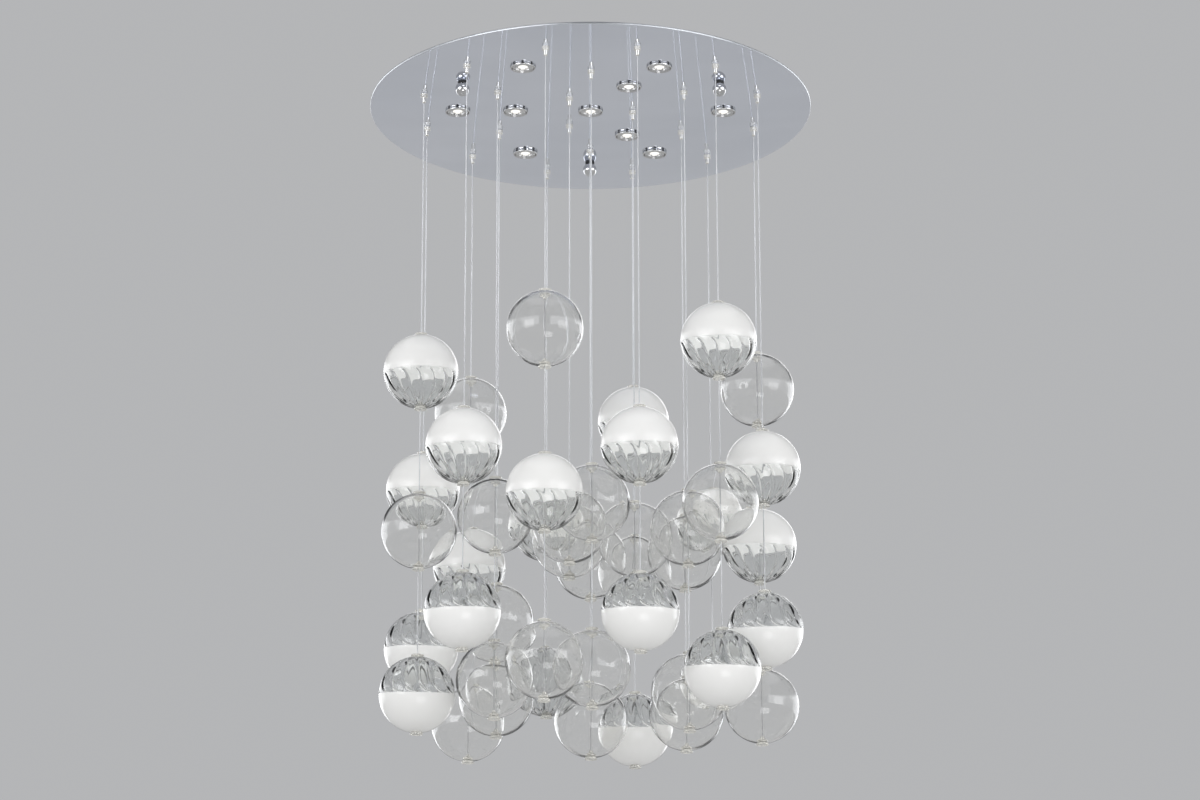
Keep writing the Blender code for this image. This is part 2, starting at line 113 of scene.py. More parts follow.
# Cables, bushings and grips, as in the part's source
CABLE = 0.0011
FLANGE = 0.012
FLANGE_HEIGHT = 0.0047
PLUG = 0.0056
SEAT_GAP = 0.0003
BARREL = 0.007
BARREL_HEIGHT = 0.008
TIP = 0.0038
TIP_HEIGHT = 0.011
GRIP_STUD = 0.004
GRIP_STUD_RISE = 0.005

# Canopy plate, spotlights, bracket and posts, as in the part's source
PLATE_THICKNESS = 0.004
CEILING_DROP = 0.055
PLATE_MARGIN = 0.0952
SPOTLIGHTS = 10
BEZEL = 0.02375
BEZEL_FACE = 0.0215
BEZEL_DROP = 0.0045
HOUSING = 0.0195
HOUSING_RISE = 0.022
BRACKET_THICKNESS = 0.003
HUB = 0.080
ARM_HALF_WIDTH = 0.015
ARM_OVERHANG = 0.015
STUD_SHARE = 0.854
POST_TURNS = (math.radians(60.0), math.radians(180.0), math.radians(300.0))
SPACER = 0.006
NUT_BALL = 0.0135
NUT_WAIST = 0.009
NUT_WAIST_HEIGHT = 0.003

# Places that follow from these sizes
PLATE_UNDERSIDE = -CEILING_DROP
PLATE_TOP = PLATE_UNDERSIDE + PLATE_THICKNESS
GRIP_DROP = BARREL_HEIGHT + TIP_HEIGHT
RIM_HEIGHT = math.sqrt(GLOBE_RADIUS ** 2 - POLE_HOLE ** 2)
FLANGE_SEAT = RIM_HEIGHT + SEAT_GAP
BUSHING_END = FLANGE_SEAT + FLANGE_HEIGHT

# Details that only this script has: the bushing's collar, neck and cone, the drum of a spotlight with black
# domes of painted vent shade, lamp and pins, the fins of its housing, the gland, and the plate's centre and
# edge
COLLAR = 0.0036
NECK = 1.14 * PLUG
CONE = 0.0105
CONE_DEPTH = 0.0128
BUSHING_FACETS = 12
DRUM_BORE = BEZEL_FACE - 0.0002
VENTS = 8
VENT_WIDTH = 0.0062
VENT_RISE = 0.0003
VENT_TOP = 0.0001
VENT_BOTTOM = 0.0034
DRUM = BEZEL - VENT_RISE
DISH = DRUM_BORE - 0.0001
LAMP = 0.0100
PIN = 0.0011
PIN_SIDE = 0.0056
PIN_BACK = 0.0025
FIN_COUNT = 32.0
FIN_DEPTH = 0.14
FIN_BLEND = 0.2
FIN_FOOT = 0.0055
FIN_END = 0.0005
GLAND_NECK = 0.007
GLAND_BORE = 0.0045
PLATE_MIDDLE = 0.002
PLATE_EDGE = 0.0006

# Profiles of the turned pieces: radius and height, down the outer side

# Bushing, over its seat on the glass
BUSHING_PROFILE = (
    (CABLE, FLANGE_HEIGHT - 0.0016),
    (COLLAR, FLANGE_HEIGHT - 0.0016),
    (0.72 * FLANGE, FLANGE_HEIGHT - 0.0012),
    (0.82 * FLANGE, FLANGE_HEIGHT),
    (0.95 * FLANGE, FLANGE_HEIGHT),
    (FLANGE, FLANGE_HEIGHT - 0.0006),
    (FLANGE, FLANGE_HEIGHT - 0.0018),
    (0.85 * FLANGE, FLANGE_HEIGHT - 0.0034),
    (0.82 * FLANGE, 0.0),
    (NECK, 0.0),
    (NECK, -0.0042),
    (CONE, -0.0049),
    (CONE, -0.0056),
    (0.45 * CONE, -0.0092),
    (0.30 * CONE, -CONE_DEPTH),
    (CABLE, -CONE_DEPTH - 0.0006),
)

# Cable grip, over the plate's underside
GRIP_PROFILE = (
    (0.0, 0.0),
    (0.90 * BARREL, 0.0),
    (BARREL, -0.0009),
    (BARREL, -0.0026),
    (0.72 * BARREL, -0.0034),
    (0.72 * BARREL, -0.0044),
    (BARREL, -0.0052),
    (BARREL, 0.0009 - BARREL_HEIGHT),
    (0.86 * BARREL, -BARREL_HEIGHT),
    (1.12 * TIP, -BARREL_HEIGHT),
    (TIP, -BARREL_HEIGHT - 0.0008),
    (TIP, 0.0012 - GRIP_DROP),
    (0.72 * TIP, -GRIP_DROP),
    (1.6 * CABLE, -GRIP_DROP),
    (1.6 * CABLE, 0.0015 - GRIP_DROP),
    (0.0, 0.0015 - GRIP_DROP),
)

# Drum, dish, lamp and pin of a spotlight, over the plate's underside
DRUM_PROFILE = (
    (DRUM_BORE, -SEAT_GAP),
    (DRUM, -SEAT_GAP),
    (DRUM, 0.0003 - BEZEL_DROP),
    (DRUM - 0.0006, -BEZEL_DROP),
    (DRUM_BORE, -BEZEL_DROP),
)
DISH_PROFILE = (
    (0.0, -SEAT_GAP),
    (DISH, -SEAT_GAP),
    (DISH, -SEAT_GAP - 0.0004),
    (LAMP + 0.0024, -SEAT_GAP - 0.0018),
    (LAMP + 0.0016, -SEAT_GAP - 0.0024),
    (LAMP + 0.0006, -SEAT_GAP - 0.0024),
    (LAMP, -SEAT_GAP - 0.0016),
    (0.0, -SEAT_GAP - 0.0016),
)
LAMP_PROFILE = (
    (0.0, -SEAT_GAP - 0.0014),
    (LAMP - 0.0004, -SEAT_GAP - 0.0014),
    (LAMP - 0.0018, 0.0010 - BEZEL_DROP),
    (0.0, 0.0004 - BEZEL_DROP),
)
PIN_PROFILE = (
    (0.0, 0.0016 - BEZEL_DROP),
    (PIN, 0.0016 - BEZEL_DROP),
    (PIN, 0.0003 - BEZEL_DROP),
    (0.0, 0.0001 - BEZEL_DROP),
)

# Housing of a spotlight, over the plate's top
HOUSING_PROFILE = (
    (0.0, HOUSING_RISE),
    (0.80 * HOUSING, HOUSING_RISE),
    (0.86 * HOUSING, HOUSING_RISE - 0.0010),
    (0.94 * HOUSING, HOUSING_RISE - 0.0050),
    (0.94 * HOUSING, 0.0060),
    (HOUSING, 0.0050),
    (HOUSING, 0.0),
    (0.0, 0.0),
)

# How the ribs run: each leans a little all the way and hooks round just before the white glass. For each kind
# of globe: the hook's turn, its reach down or up the side, and the length over which the ribs begin
HOOKS = {
    "white_top": (math.radians(12.0), math.radians(8.0), math.radians(4.0)),
    "ribbed_top": (math.radians(18.0), math.radians(4.5), math.radians(2.0)),
    "ribbed": (math.radians(6.0), math.radians(8.0), math.radians(4.0)),
}
DRIFT_TURN = math.radians(7.0)
DRIFT_REACH = math.radians(38.0)
RIB_SHARPNESS = 3.0
GROOVE_SHARE = 0.72
RIB_POLE_SHARE = 0.34
INSIDE_RIB_SHARE = 0.04
INSIDE_STEP_REACH = math.radians(26.0)

# Where white glass meets clear glass: its mean latitude, and how far it dips at the front
EDGES = {
    "white_top": (math.radians(-3.5), math.radians(6.5)),
    "ribbed_top": (math.radians(1.0), math.radians(9.0)),
    "ribbed": (0.0, 0.0),
}
EDGE_SPREAD = math.radians(1.2)

# How the inside of a clear globe wanders: the height of its waves, and for each wave the angle that it goes
# through in a radian of turn and in a radian of latitude
WALL_WANDER = 0.00022
WALL_WAVES = ((2.0, 1.5), (3.0, -2.0), (1.0, 4.0))

# Material slot of each kind of globe, in the order in which a node's name is searched
GLASS_SLOTS = {
    "white_top": "white_over_ribbed_glass",
    "ribbed_top": "ribbed_over_white_glass",
    "ribbed": "ribbed_glass",
    "clear": "clear_glass",
}

# Places of the columns across one rib, closer together at its groove
RIB_COLUMN_SHARES = np.array((0.0, 0.045, 0.11, 0.21, 0.35, 0.5, 0.65, 0.79, 0.89, 0.955))
PLATE_COLUMNS = 360
CLEAR_COLUMNS = 96
CLEAR_ROWS = 56
WHITE_ROWS = 18
RIBBED_ROWS = 38
INSIDE_WHITE_ROWS = 12
INSIDE_RIBBED_ROWS = 20
ROW_CROWDING = 1.5
LONGEST_CORNER = 0.45

SHARP_ANGLE = math.radians(40.0)
GLASS_BOUNCES = 30
RANDOM_SEED = 7


def smooth_step(share):
    """Ease from 0 to 1: three times the square less twice the cube of the share, held within 0 to 1."""
    share = np.clip(share, 0.0, 1.0)
    return share * share * (3.0 - 2.0 * share)


def turns(count):
    """Even turns once round."""
    return np.arange(count) * (FULL_TURN / count)


def skin(rows, heights=None, closed=False):
    """Quads between neighbouring rows of points, with their map.

    Each row is a ring that runs toward growing turns, and the rows run down the outer side, so that every
    face points outward. A closed skin joins its last row to its first. The map's u is the share of the way
    round and its v the given height of each row.
    """
    count, around = rows.shape[:2]
    index = np.arange(count * around).reshape(count, around)
    upper = index if closed else index[:-1]
    lower = np.roll(index, -1, axis=0) if closed else index[1:]
    beside = (np.roll(lower, -1, axis=1), np.roll(upper, -1, axis=1))
    quads = np.stack((upper, lower, *beside), axis=-1)
    if heights is None:
        heights = np.linspace(1.0, 0.0, count)
    v_upper = heights if closed else heights[:-1]
    v_lower = np.roll(heights, -1) if closed else heights[1:]
    u_left = np.broadcast_to(np.arange(around) / around, upper.shape)
    u_right = u_left + 1.0 / around
    v_upper = np.broadcast_to(v_upper[:, None], upper.shape)
    v_lower = np.broadcast_to(v_lower[:, None], upper.shape)
    corners = ((u_left, v_upper), (u_left, v_lower), (u_right, v_lower), (u_right, v_upper))
    uv = np.stack([np.stack(corner, axis=-1) for corner in corners], axis=-2)
    return {
        "points": rows.reshape(-1, 3),
        "quads": quads.reshape(-1, 4),
        "quad_map": uv.reshape(-1, 4, 2),
        "tris": np.zeros((0, 3), int),
        "slots": np.zeros(len(quads) * around, int),
    }


def capped(surface, around, top=None, bottom=None):
    """Close a skin's first row with a fan round a top point, and its last with one round a bottom point."""
    points = surface["points"]
    tris = [surface["tris"]]
    ring = np.arange(around)
    after = np.roll(ring, -1)
    if top is not None:
        tris.append(np.stack((np.full(around, len(points)), ring, after), axis=-1))
        points = np.vstack((points, top))
    if bottom is not None:
        last = len(surface["points"]) - around
        tris.append(np.stack((np.full(around, len(points)), last + after, last + ring), axis=-1))
        points = np.vstack((points, bottom))
    surface["points"] = points
    surface["tris"] = np.vstack(tris)
    return surface


def rounded(profile, radius, steps=4):
    """Profile with each inner corner replaced by a curve that leaves both sides one radius before the corner.

    On a short side it leaves sooner. The curve is a square-law blend of its start, the corner and its end.
    """
    profile = np.asarray(profile, float)
    corner = profile[1:-1]
    back = profile[:-2] - corner
    ahead = profile[2:] - corner
    back_length = np.linalg.norm(back, axis=1, keepdims=True)
    ahead_length = np.linalg.norm(ahead, axis=1, keepdims=True)
    start = corner + back * (np.minimum(radius, LONGEST_CORNER * back_length) / back_length)
    end = corner + ahead * (np.minimum(radius, LONGEST_CORNER * ahead_length) / ahead_length)
    share = np.linspace(0.0, 1.0, steps)[None, :, None]
    rest = 1 - share
    curve = rest ** 2 * start[:, None] + 2 * share * rest * corner[:, None] + share ** 2 * end[:, None]
    return np.vstack((profile[:1], curve.reshape(-1, 2), profile[-1:]))


def turned(profile, around, place=(0.0, 0.0, 0.0), wave=None):
    """Surface turned about Z from a profile of radii and heights that runs down the outer side.

    Each point is the radius times the sine and the negative cosine of the turn. A profile end on the axis
    closes as a fan. A wave gives the share by which the radius grows at each profile point and turn.
    """
    profile = np.asarray(profile, float)
    place = np.asarray(place, float)
    top = place + (0.0, 0.0, profile[0, 1]) if profile[0, 0] == 0.0 else None
    bottom = place + (0.0, 0.0, profile[-1, 1]) if profile[-1, 0] == 0.0 else None
    first = 0 if top is None else 1
    last = len(profile) if bottom is None else len(profile) - 1
    kept = profile[first:last]
    turn = turns(around)[None, :]
    radius = np.repeat(kept[:, :1], around, axis=1)
    if wave is not None:
        radius = radius * (1.0 + wave(kept[:, :1], kept[:, 1:], turn))
    height = np.repeat(kept[:, 1:], around, axis=1)
    rows = np.stack((radius * np.sin(turn), -radius * np.cos(turn), height), axis=-1) + place
    closed = top is None and bottom is None
    return capped(skin(rows, kept[:, 1], closed), around, top, bottom)


def lathed(profile, level, place, around, softness, steps=3):
    """Turned surface from a profile over a level, with its corners softened."""
    return turned(rounded(np.add(profile, (0.0, level)), softness, steps), around, place)


def piece(name, surfaces, finishes, body, stands_for=()):
    """Mesh object from surfaces, riding on a body of the frame."""
    offset = 0
    quads, tris, quad_maps, slots = [], [], [], []
    for surface in surfaces:
        quads.append(surface["quads"] + offset)
        tris.append(surface["tris"] + offset)
        quad_maps.append(surface["quad_map"])
        slots.append(surface["slots"])
        offset += len(surface["points"])
    points = np.vstack([surface["points"] for surface in surfaces])
    quads = np.vstack(quads)
    tris = np.vstack(tris)
    corners = np.concatenate((quads.ravel(), tris.ravel())).astype(np.int32)
    starts = np.concatenate((np.arange(len(quads)) * 4, len(quads) * 4 + np.arange(len(tris)) * 3))
    mesh = bpy.data.meshes.new(name)
    mesh.vertices.add(len(points))
    mesh.vertices.foreach_set("co", points.astype(np.float32).ravel())
    mesh.loops.add(len(corners))
    mesh.loops.foreach_set("vertex_index", corners)
    mesh.polygons.add(len(starts))
    mesh.polygons.foreach_set("loop_start", starts.astype(np.int32))
    face_slots = np.concatenate(slots + [np.zeros(len(tris), int)])
    mesh.polygons.foreach_set("material_index", face_slots.astype(np.int32))
    mesh.update(calc_edges=True)
    uv = np.vstack([m.reshape(-1, 2) for m in quad_maps] + [np.zeros((tris.size, 2))])
    mesh.uv_layers.new(name="surface").data.foreach_set("uv", uv.astype(np.float32).ravel())
    for finish in finishes:
        mesh.materials.append(finish)
    mesh.shade_smooth()
    mesh.set_sharp_from_angle(angle=SHARP_ANGLE)
    thing = bpy.data.objects.new(name, mesh)
    bpy.context.scene.collection.objects.link(thing)
    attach(thing, body)
    if stands_for:
        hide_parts(*stands_for)
    return thing


class Finish:
    """A material with one main shader, and short calls that add nodes to it."""

    def __init__(self, name, color, roughness, metallic=0.0):
        self.material = bpy.data.materials.new(name)
        self.material.use_nodes = True
        self.tree = self.material.node_tree
        self.shader = self.tree.nodes["Principled BSDF"]
        self.output = self.tree.nodes["Material Output"]
        self.place = self.node("ShaderNodeTexCoord").outputs["Object"]
        self.set("Base Color", (*color, 1.0))
        self.set("Roughness", roughness)
        self.set("Metallic", metallic)

    def set(self, socket, value):
        """Set one of the shader's own values."""
        self.shader.inputs[socket].default_value = value

    def node(self, kind, settings=None, **inputs):
        """Add a node, set its settings, and set or link its inputs by name or number."""
        made = self.tree.nodes.new(kind)
        for name, value in (settings or {}).items():
            setattr(made, name, value)
        for name, value in inputs.items():
            key = int(name[1:]) if name[0] == "_" else name.replace("_", " ")
            if isinstance(value, bpy.types.NodeSocket):
                self.tree.links.new(value, made.inputs[key])
            else:
                made.inputs[key].default_value = value
        return made

    def link(self, source, socket):
        """Link an output to one of the shader's inputs."""
        self.tree.links.new(source, self.shader.inputs[socket])

    def noise(self, scale, detail=2.0, stretch=(1.0, 1.0, 1.0)):
        """Cloudy pattern over the piece."""
        mapped = self.node("ShaderNodeMapping", Vector=self.place, Scale=stretch).outputs["Vector"]
        return self.node("ShaderNodeTexNoise", Vector=mapped, Scale=scale, Detail=detail).outputs["Fac"]

    def spread(self, value, low, high, start=0.3, end=0.7):
        """Carry a pattern from one range to another."""
        ranges = {"From_Min": start, "From_Max": end, "To_Min": low, "To_Max": high}
        return self.node("ShaderNodeMapRange", {"clamp": True}, Value=value, **ranges).outputs["Result"]

    def calculate(self, operation, *values):
        """Result of one operation on its values."""
        inputs = {f"_{number}": value for number, value in enumerate(values)}
        return self.node("ShaderNodeMath", {"operation": operation}, **inputs).outputs["Value"]

    def shades(self, value, dark, light, start=0.3, end=0.7):
        """Colour that runs from a dark to a light shade with a pattern."""
        ramp = self.node("ShaderNodeValToRGB", Fac=value)
        ramp.color_ramp.elements[0].position = start
        ramp.color_ramp.elements[0].color = (*dark, 1.0)
        ramp.color_ramp.elements[1].position = end
        ramp.color_ramp.elements[1].color = (*light, 1.0)
        return ramp.outputs["Color"]

    def relief(self, height, distance, strength=1.0):
        """Bump from a pattern."""
        bump = self.node("ShaderNodeBump", Height=height, Distance=distance, Strength=strength)
        self.link(bump.outputs["Normal"], "Normal")

    def let_lamps_through(self, tint):
        """Glass lets a lamp's rays pass straight through, with a light tint."""
        clear = self.node("ShaderNodeBsdfTransparent", Color=(*tint, 1.0)).outputs["BSDF"]
        to_lamp = self.node("ShaderNodeLightPath").outputs["Is Shadow Ray"]
        mix = self.node("ShaderNodeMixShader", Fac=to_lamp, _1=self.shader.outputs["BSDF"], _2=clear)
        self.tree.links.new(mix.outputs["Shader"], self.output.inputs["Surface"])


def make_globe_glass(name, color, tint, wave_height):
    """Blown clear glass: faint waves, and patches of seeds half as high as the waves."""
    finish = Finish(name, color, 0.0)
    finish.set("Transmission Weight", 1.0)
    finish.set("IOR", 1.50)
    waves = finish.noise(28.0, detail=1.0)
    cells = finish.node("ShaderNodeTexVoronoi", {"feature": "F1"}, Vector=finish.place, Scale=150.0)
    grain = finish.spread(cells.outputs["Distance"], low=1.0, high=0.0, start=0.0, end=0.16)
    patches = finish.spread(finish.noise(16.0, detail=0.0), low=0.0, high=1.0, start=0.55, end=0.62)
    seeds = finish.calculate("MULTIPLY", grain, patches)
    seed_share = 0.5
    finish.relief(finish.calculate("MULTIPLY_ADD", seeds, seed_share, waves), wave_height)
    finish.let_lamps_through(tint)
    return finish.material


def make_opal_glass(name, glow):
    """White glass: an even milky body with a polished skin and faint clouds.

    The glow is painted light: an emission that stands in for the daylight that would reach a face through the
    wall.
    """
    finish = Finish(name, (0.91, 0.91, 0.90), 0.16)
    clouds = finish.shades(finish.noise(9.0), dark=(0.90, 0.90, 0.89), light=(0.93, 0.93, 0.925))
    finish.link(clouds, "Base Color")
    finish.link(finish.spread(finish.noise(45.0), low=0.13, high=0.20), "Roughness")
    finish.set("Specular IOR Level", 0.3)
    finish.relief(finish.noise(30.0, detail=1.0), distance=0.0006, strength=0.3)
    finish.set("IOR", 1.50)
    # Painted light: the face glows with an emission in place of the daylight through the wall.
    if glow:
        finish.link(clouds, "Emission Color")
        finish.set("Emission Strength", glow)
        finish.material.cycles.emission_sampling = "NONE"
    return finish.material


def make_clear_plastic():
    """Clear moulded plastic of the bushings, slightly warm."""
    finish = Finish("bushing_clear_plastic", (0.96, 0.95, 0.91), 0.08)
    clouds = finish.shades(finish.noise(260.0), dark=(0.94, 0.93, 0.89), light=(0.98, 0.975, 0.95))
    finish.link(clouds, "Base Color")
    finish.set("Transmission Weight", 0.68)
    finish.set("IOR", 1.57)
    finish.relief(finish.noise(420.0, detail=1.0), distance=0.0006, strength=0.6)
    finish.let_lamps_through((0.95, 0.94, 0.90))
    return finish.material


def make_cable_steel():
    """Fine stranded steel: slanted strands along the map, lighter on their crowns, with painted shade in the
    grooves between them.
    """
    strands = 6.0
    lays_in_a_metre = 90.0
    finish = Finish("cable_steel", (0.80, 0.81, 0.82), 0.34, metallic=0.85)
    uv = finish.node("ShaderNodeUVMap", {"uv_map": "surface"}).outputs["UV"]
    parts = finish.node("ShaderNodeSeparateXYZ", Vector=uv).outputs
    slant = finish.calculate("MULTIPLY_ADD", parts["Y"], lays_in_a_metre, parts["X"])
    wave = finish.calculate("SINE", finish.calculate("MULTIPLY", slant, strands * FULL_TURN))
    # Painted shade: the steel's colour darkens in the grooves between the strands.
    shades = finish.shades(wave, dark=(0.55, 0.56, 0.58), light=(0.92, 0.93, 0.94), start=0.1, end=0.9)
    finish.link(shades, "Base Color")
    finish.relief(wave, distance=0.0002, strength=0.7)
    return finish.material


def make_mirror_steel():
    """Mirror-polished steel sheet: a cool body with very faint rolling and polishing marks."""
    finish = Finish("canopy_mirror_steel", (0.76, 0.79, 0.88), 0.03, 1.0)
    clouds = finish.shades(finish.noise(2.2), dark=(0.73, 0.765, 0.85), light=(0.79, 0.82, 0.90))
    finish.link(clouds, "Base Color")
    marks = finish.noise(60.0, detail=3.0, stretch=(1.0, 12.0, 1.0))
    finish.link(finish.spread(marks, low=0.02, high=0.07), "Roughness")
    return finish.material


def make_metal(name, dark, light, low, high, scale, edge=1.0, metallic=1.0):
    """Bright plated metal with a slightly uneven shine. The edge is the tint where the surface turns away."""
    finish = Finish(name, light, low, metallic)
    finish.set("Specular Tint", (edge, edge, edge, 1.0))
    finish.link(finish.shades(finish.noise(scale), dark, light), "Base Color")
    finish.link(finish.spread(finish.noise(3.0 * scale, detail=3.0), low, high), "Roughness")
    finish.relief(finish.noise(6.0 * scale), distance=0.00005, strength=0.3)
    return finish.material


def make_galvanised():
    """Zinc-coated steel with its patchwork of dull and bright crystals."""
    finish = Finish("galvanised_bracket_steel", (0.55, 0.56, 0.57), 0.45, metallic=0.9)
    flakes = finish.node("ShaderNodeTexVoronoi", Vector=finish.place, Scale=160.0).outputs["Color"]
    patch = finish.node("ShaderNodeSeparateXYZ", Vector=flakes).outputs["X"]
    shades = finish.shades(patch, dark=(0.46, 0.47, 0.49), light=(0.62, 0.63, 0.64), start=0.0, end=1.0)
    finish.link(shades, "Base Color")
    finish.link(finish.spread(patch, low=0.34, high=0.52, start=0.0, end=1.0), "Roughness")
    return finish.material


def make_plastic(name, dark, light, roughness):
    """Moulded plastic with a fine matt grain."""
    finish = Finish(name, light, roughness)
    unevenness = 0.05
    finish.link(finish.shades(finish.noise(140.0, detail=3.0), dark, light), "Base Color")
    clouds = finish.spread(finish.noise(600.0), roughness - unevenness, roughness + unevenness)
    finish.link(clouds, "Roughness")
    finish.relief(finish.noise(900.0, detail=3.0), distance=0.0001, strength=0.5)
    return finish.material


def make_lamp_glow():
    """Lit face of a lamp: an even warm glow over faintly clouded glass."""
    finish = Finish("lamp_glow", (0.55, 0.55, 0.53), 0.4)
    clouds = finish.shades(finish.noise(300.0), dark=(0.50, 0.50, 0.48), light=(0.60, 0.60, 0.58))
    finish.link(clouds, "Base Color")
    finish.set("Emission Color", (1.0, 0.97, 0.91, 1.0))
    finish.set("Emission Strength", 0.85)
    return finish.material


def make_finishes():
    """All finishes of the light by short name."""
    clear = make_globe_glass("clear_globe_glass", (0.985, 0.985, 0.98), (0.955, 0.955, 0.95), 0.0005)
    ribbed = make_globe_glass("ribbed_globe_glass", (0.897, 0.905, 0.904), (0.93, 0.935, 0.935), 0.0003)
    return {
        "clear": clear,
        "ribbed": ribbed,
        "opal": make_opal_glass("opal_white_glass", glow=0.0),
        # The white glass's inside glows with painted light for the daylight through its wall.
        "opal_inside_painted_glow": make_opal_glass("opal_white_glass_inside_painted_glow", glow=0.24),
        "bushing": make_clear_plastic(),
        "cable": make_cable_steel(),
        "mirror": make_mirror_steel(),
        **{short: make_metal(*values) for short, values in METALS.items()},
        "galvanised": make_galvanised(),
        "black": make_plastic("black_moulding", (0.030, 0.030, 0.031), (0.045, 0.045, 0.046), 0.45),
        "white": make_plastic("white_moulding", (0.78, 0.78, 0.75), (0.84, 0.84, 0.81), 0.42),
        "glow": make_lamp_glow(),
    }


def globe_points(radius, latitude, turn):
    """Points of a globe: the radius times the cosine of the latitude across, and times its sine up."""
    across = radius * np.cos(latitude)
    return np.stack((across * np.sin(turn), -across * np.cos(turn), radius * np.sin(latitude)), axis=-1)


def rim_latitude(radius):
    """Latitude at which a globe of this radius meets the hole at its pole."""
    return math.acos(POLE_HOLE / radius)


def clear_globe(draw):
    """Clear globe: an even outside, and an inside that wanders a little.

    The inside's radius is the outside's less the wall, plus three long waves of turn and latitude with drawn
    phases. The waves fade out toward the poles with the root of the latitude's cosine.
    """
    turn = turns(CLEAR_COLUMNS)[None, :]
    outer_end = rim_latitude(GLOBE_RADIUS)
    inner_end = rim_latitude(GLOBE_RADIUS - GLASS_WALL)
    outer_latitude = np.repeat(np.linspace(outer_end, -outer_end, CLEAR_ROWS)[:, None], CLEAR_COLUMNS, axis=1)
    inner_latitude = np.repeat(np.linspace(-inner_end, inner_end, CLEAR_ROWS)[:, None], CLEAR_COLUMNS, axis=1)
    phases = draw.uniform(0.0, FULL_TURN, len(WALL_WAVES))
    waves = sum(np.sin(across * turn + along * inner_latitude + phase)
                for (across, along), phase in zip(WALL_WAVES, phases))
    fade = np.sqrt(np.cos(inner_latitude))
    inside = GLOBE_RADIUS - GLASS_WALL + WALL_WANDER * waves * fade
    outer = globe_points(GLOBE_RADIUS, outer_latitude, turn)
    inner = globe_points(inside, inner_latitude, turn)
    latitudes = np.concatenate((outer_latitude, inner_latitude))[:, 0]
    return skin(np.concatenate((outer, inner)), 0.5 + 0.5 * np.sin(latitudes), closed=True)


def rib_columns():
    """Turns of the columns once round, gathered at each rib's groove."""
    ribs = np.arange(RIB_COUNT)[:, None] + RIB_COLUMN_SHARES[None, :]
    return ribs.ravel() * (FULL_TURN / RIB_COUNT)


def rib_lean(away, hook):
    """Turn by which a groove has moved at an angle away from the white glass: a short and a long decay."""
    hook_turn, hook_reach, _ = hook
    return hook_turn * np.exp(-away / hook_reach) + DRIFT_TURN * np.exp(-away / DRIFT_REACH)


def rib_groove(column, away, latitude, hook):
    """Share of the ribs' depth: one less the sine of half the rib's phase, raised to the ribs' sharpness.

    It fades in past the white glass and fades out where the ribs crowd together at the pole.
    """
    groove = GROOVE_SHARE * (1.0 - np.abs(np.sin(0.5 * RIB_COUNT * column))) ** RIB_SHARPNESS
    return groove * smooth_step(away / hook[2]) * np.clip(np.cos(latitude) / RIB_POLE_SHARE, 0.0, 1.0)


def ribbed_side(edge, column, end_latitude, rows, first_turn, hook, sense):
    """Latitudes, turns and grooves of a ribbed side, from the white glass to its pole.

    The angle away from the edge grows with a power of the row's share, so that rows crowd at the hooks.
    """
    share = np.linspace(0.0, 1.0, rows)[:, None] ** ROW_CROWDING
    reach = np.abs(end_latitude - edge)[None, :]
    away = share * reach
    latitude = edge[None, :] + np.sign(end_latitude) * away
    turn = column[None, :] + sense * rib_lean(away, hook) + first_turn
    return latitude, turn, rib_groove(column[None, :], away, latitude, hook)


def plain_side(edge, column, end_latitude, rows, first_turn, hook, sense):
    """Latitudes, turns and angles away from the edge of a white side, with the columns' lean held."""
    share = np.linspace(0.0, 1.0, rows)[:, None]
    latitude = edge[None, :] + share * (end_latitude - edge)[None, :]
    turn = np.repeat(column[None, :] + sense * rib_lean(0.0, hook) + first_turn, rows, axis=0)
    return latitude, turn, np.abs(latitude - edge[None, :])


